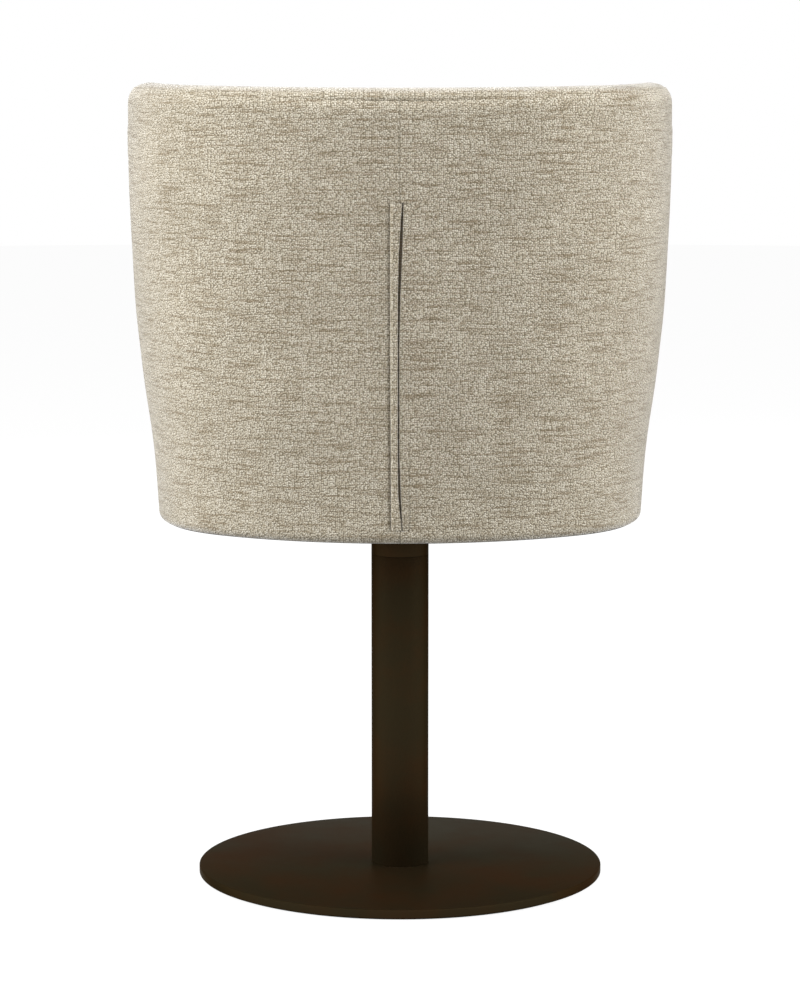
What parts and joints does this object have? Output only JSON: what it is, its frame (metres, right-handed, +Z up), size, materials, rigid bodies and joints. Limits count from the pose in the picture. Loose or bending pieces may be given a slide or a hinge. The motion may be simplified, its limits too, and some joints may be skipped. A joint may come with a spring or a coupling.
{
  "type": "swivel dining chair",
  "caption": "Upholstered swivel dining chair with a padded wrap-round back and seat on a round steel post and a flat disc base.",
  "frame": {"origin": "on the floor under the middle of the post and of the disc base", "axes": "+Z up along the swivel axis; the sitter faces -Y; +X is the sitter's left"},
  "size_m": [0.559, 0.5644, 0.818],
  "materials": {
    "felt": "dense black felt",
    "bronze_steel": "satin dark bronze powder coat",
    "plain_steel": "black painted steel",
    "zinc_steel": "bright zinc plate",
    "bearing_steel": "ground and hardened",
    "nylon": "moulded natural nylon",
    "plywood": "bare birch plywood",
    "beech": "bare beech",
    "webbing": "woven elastic webbing",
    "chenille": "slubby woven chenille, warm beige",
    "dust_cloth": "black non-woven cloth",
    "zip_tape": "fine woven tape",
    "zip_plastic": "moulded teeth",
    "zip_metal": "lacquered zinc alloy"
  },
  "bodies": {
    "base": {"floor_pad": "felt", "base_disc": "bronze_steel", "base_screws": "zinc_steel", "column_foot": "plain_steel", "column_tube": "bronze_steel", "bearing_sleeve": "bronze_steel", "upper_bush": "nylon", "lower_bush": "nylon", "lower_race": "bearing_steel", "bearing_rollers": "bearing_steel", "roller_cage": "nylon"},
    "seat": {"spindle": "plain_steel", "swivel_plate": "plain_steel", "plate_washers": "zinc_steel", "plate_bolts": "zinc_steel", "tee_nuts": "zinc_steel", "board_screws": "zinc_steel", "shell_screws": "zinc_steel", "spindle_washer": "zinc_steel", "retaining_clip": "zinc_steel", "upper_race": "bearing_steel", "seat_board": "plywood", "back_shell": "plywood", "seat_ring": "beech", "corner_blocks": "beech", "webbing_across": "webbing", "webbing_along": "webbing", "seat_band": "chenille", "seat_cushion": "chenille", "inside_back_pad": "chenille", "outside_cover_left": "chenille", "outside_cover_right": "chenille", "placket_left": "chenille", "placket_right": "chenille", "dust_cover": "dust_cloth", "zip_tape_left": "zip_tape", "zip_tape_right": "zip_tape", "zip_teeth_left": "zip_plastic", "zip_teeth_right": "zip_plastic", "zip_stop": "zip_plastic"},
    "zip_slider": {"zip_slider": "zip_metal"}
  },
  "joints": [
    {"name": "seat_swivel", "type": "hinge", "parent": "base", "child": "seat", "pos_m": [0, 0, 0], "axis": [0, 0, 1], "continuous": true},
    {"name": "zip_slide", "type": "slide", "parent": "seat", "child": "zip_slider", "axis": [0, 0.086, 0.9963], "range_m": [0, 0.29], "deforming": ["zip_teeth_left", "zip_teeth_right"]}
  ]
}
